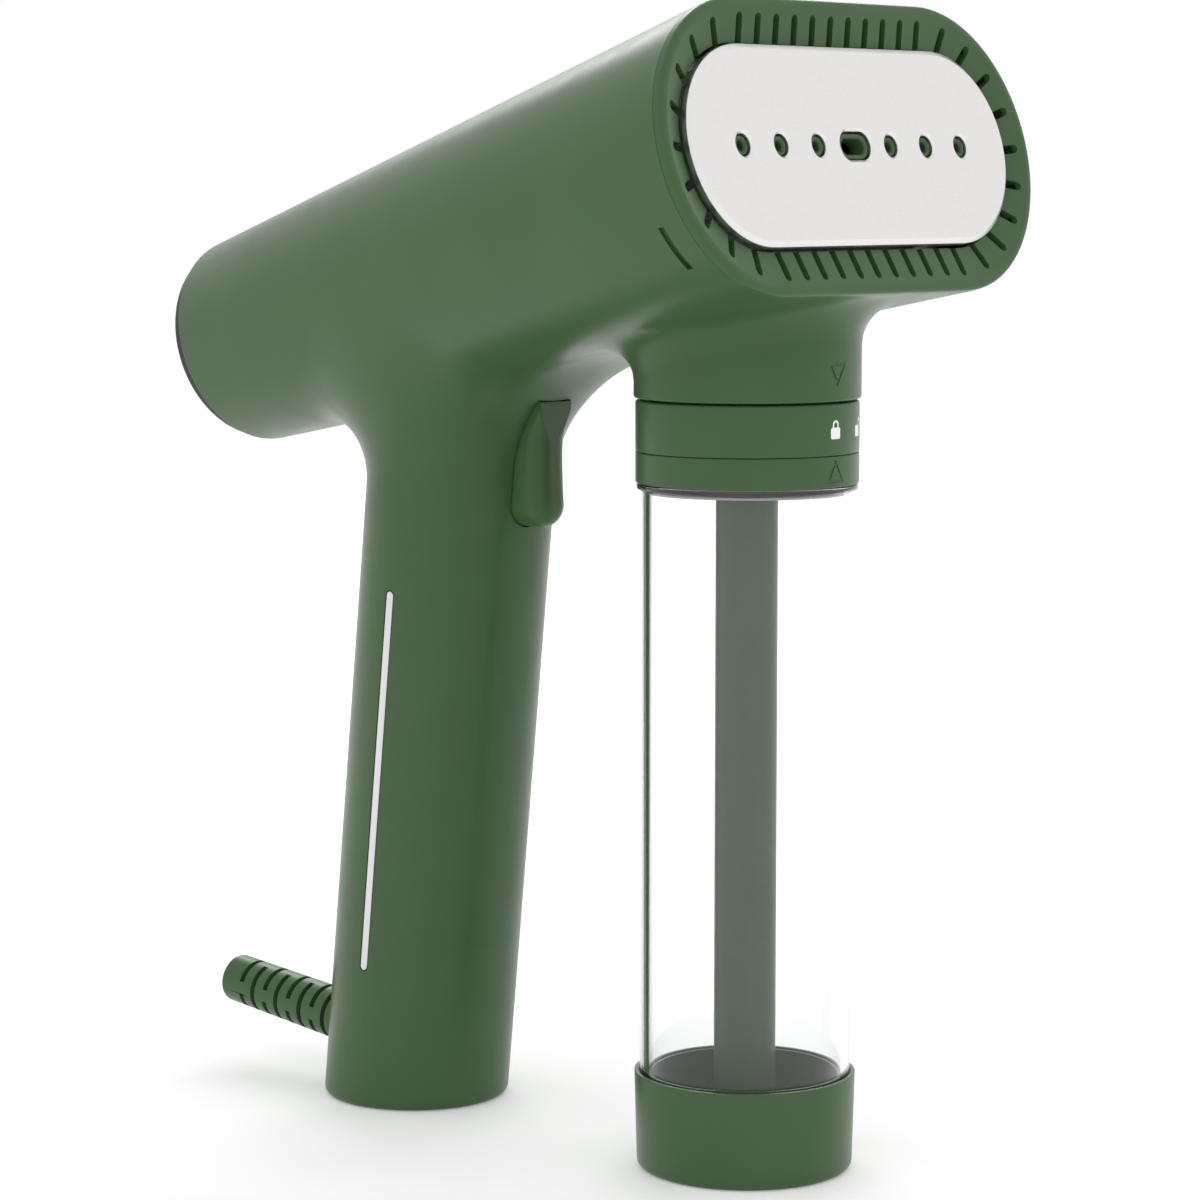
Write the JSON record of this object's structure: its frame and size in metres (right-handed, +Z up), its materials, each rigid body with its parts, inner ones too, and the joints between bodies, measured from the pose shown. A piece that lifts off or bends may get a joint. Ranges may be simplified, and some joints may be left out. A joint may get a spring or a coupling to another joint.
{
  "type": "handheld garment steamer",
  "caption": "Pistol-shaped garment steamer: tapering barrel with a stadium steam plate, round handle with a trigger, and a clear tube water tank under the head.",
  "frame": {"origin": "centre of the water tank's base, on the surface the steamer stands on", "axes": "+Z up along the tank, -Y forward out of the steam plate, X across the steam head"},
  "size_m": [0.1276, 0.2073, 0.2618],
  "materials": {
    "green_plastic": "satin",
    "dark_plastic": "matte",
    "black_gloss": "gloss",
    "plate_metal": "satin",
    "strip_metal": "satin",
    "cast_aluminium": "rough cast",
    "steel": "brushed",
    "clear_tube": "clear",
    "silicone": "matte",
    "white_plastic": "satin",
    "white_print": "matte",
    "board_green": "satin",
    "red_plastic": "satin"
  },
  "bodies": {
    "body": {"body_shell": "green_plastic", "front_bezel": "green_plastic", "steam_plate": "plate_metal", "nozzle_insert": "green_plastic", "plate_gasket": "silicone", "boiler": "cast_aluminium", "heating_element": "steel", "boiler_bracket": "steel", "bracket_screws": "steel", "heat_shield": "steel", "thermostat": "steel", "thermal_fuse": "white_plastic", "delivery_hose": "silicone", "check_valve": "white_plastic", "pump": "dark_plastic", "pump_cradle": "silicone", "suction_hose": "silicone", "tank_dock": "dark_plastic", "dock_screws": "steel", "spigot_seal": "silicone", "rear_panel": "black_gloss", "button_spring": "steel", "indicator_lens": "white_plastic", "control_board": "board_green", "board_screws": "steel", "inner_wiring": "silicone", "terminal_block": "white_plastic", "trigger_pin": "steel", "trigger_spring": "steel", "trigger_switch": "dark_plastic", "handle_strip_left": "strip_metal", "handle_strip_right": "strip_metal", "handle_end_cap": "dark_plastic", "strain_relief": "green_plastic", "cord_clamp": "dark_plastic", "clamp_screws": "steel"},
    "tank": {"tank_collar": "green_plastic", "tank_stopper": "dark_plastic", "vent_valve": "silicone", "neck_seal": "silicone", "tank_tube": "clear_tube", "tube_top_seal": "silicone", "pickup_stem": "green_plastic", "tank_base_cap": "green_plastic", "base_seal": "silicone", "base_foot": "dark_plastic"},
    "lock_ring": {"lock_ring": "green_plastic", "lock_marks": "white_print"},
    "trigger": {"trigger": "green_plastic"},
    "power_button": {"power_button": "black_gloss"},
    "switch_plunger": {"switch_plunger": "red_plastic"}
  },
  "joints": [
    {"name": "tank_release", "type": "slide", "parent": "body", "child": "tank", "axis": [0, 0, -1], "range_m": [0, 0.03]},
    {"name": "lock_turn", "type": "hinge", "parent": "tank", "child": "lock_ring", "pos_m": [0, 0, 0.169], "axis": [0, 0, 1], "range_deg": [-25, 0]},
    {"name": "trigger_pull", "type": "hinge", "parent": "body", "child": "trigger", "pos_m": [0, 0.0665, 0.1705], "axis": [1, 0, 0], "range_deg": [0, 8], "stiffness_Nm_per_rad": 0.6, "springref_deg": -8.59, "deforming": ["trigger_spring"]},
    {"name": "button_press", "type": "slide", "parent": "body", "child": "power_button", "axis": [0, -0.9703, 0.2419], "range_m": [0, 0.001], "stiffness_N_per_m": 1500, "springref_m": -0.001, "deforming": ["button_spring"]},
    {"name": "plunger_press", "type": "slide", "parent": "body", "child": "switch_plunger", "axis": [0, 1, 0], "range_m": [0, 0.00265]}
  ],
  "couplings": [
    {"joint": "plunger_press", "follows": "trigger_pull", "m_per_rad": 0.0188}
  ]
}
